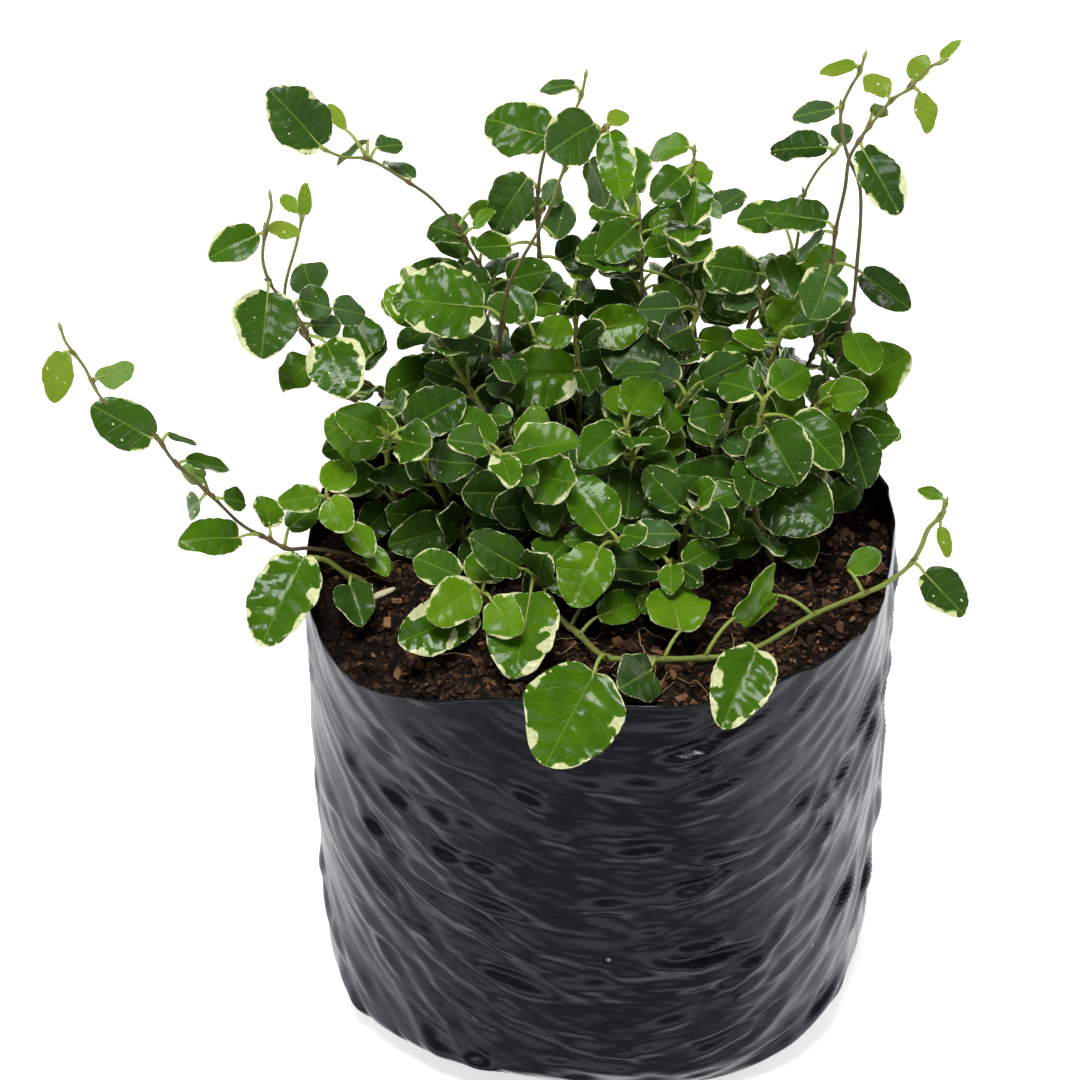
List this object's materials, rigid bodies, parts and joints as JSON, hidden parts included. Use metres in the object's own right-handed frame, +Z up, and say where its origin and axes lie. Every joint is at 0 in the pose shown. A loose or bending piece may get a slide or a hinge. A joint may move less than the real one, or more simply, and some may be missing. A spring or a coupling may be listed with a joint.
{
  "type": "potted creeping fig",
  "caption": "Young creeping fig with small variegated heart-shaped leaves on thin runners and a low bush, growing in soil in a round black film nursery bag.",
  "frame": {"origin": "centre of the bag's flat base", "axes": "+Z up out of the bag, -Y towards the side that faces the viewer in the picture, +X to the viewer's right"},
  "size_m": [0.2399, 0.1847, 0.2805],
  "materials": {
    "bag_film": "thin black polythene film, creased, satin to glossy",
    "potting_soil": "dark brown crumbly soil with red-brown chips and fibres",
    "foliage": "glossy quilted leaves, green with irregular cream margins, on brown and green stems"
  },
  "bodies": {
    "root": {"bag": "bag_film", "soil": "potting_soil", "shoot_left_runner": "foliage", "shoot_left_low": "foliage", "shoot_left_rim": "foliage", "shoot_left_mid": "foliage", "shoot_left_twin": "foliage", "shoot_top_left": "foliage", "shoot_centre": "foliage", "shoot_centre_back": "foliage", "shoot_back_mid": "foliage", "shoot_right_tall": "foliage", "shoot_right_slim": "foliage", "shoot_right_second": "foliage", "shoot_right_mid": "foliage", "shoot_right_runner": "foliage", "shoot_front_left": "foliage", "shoot_front_mid": "foliage", "shoot_soil_pair": "foliage", "shoot_right_front": "foliage", "shoot_middle": "foliage", "shoot_middle_front": "foliage", "shoot_front_right": "foliage", "shoot_left_bush": "foliage", "shoot_bush_01": "foliage", "shoot_bush_02": "foliage", "shoot_bush_03": "foliage", "shoot_bush_04": "foliage", "shoot_bush_05": "foliage", "shoot_bush_06": "foliage", "shoot_bush_07": "foliage", "shoot_bush_08": "foliage", "shoot_bush_09": "foliage", "shoot_bush_10": "foliage", "shoot_bush_11": "foliage", "shoot_bush_12": "foliage", "shoot_bush_13": "foliage", "shoot_bush_14": "foliage", "shoot_bush_15": "foliage", "shoot_bush_16": "foliage"}
  },
  "joints": []
}
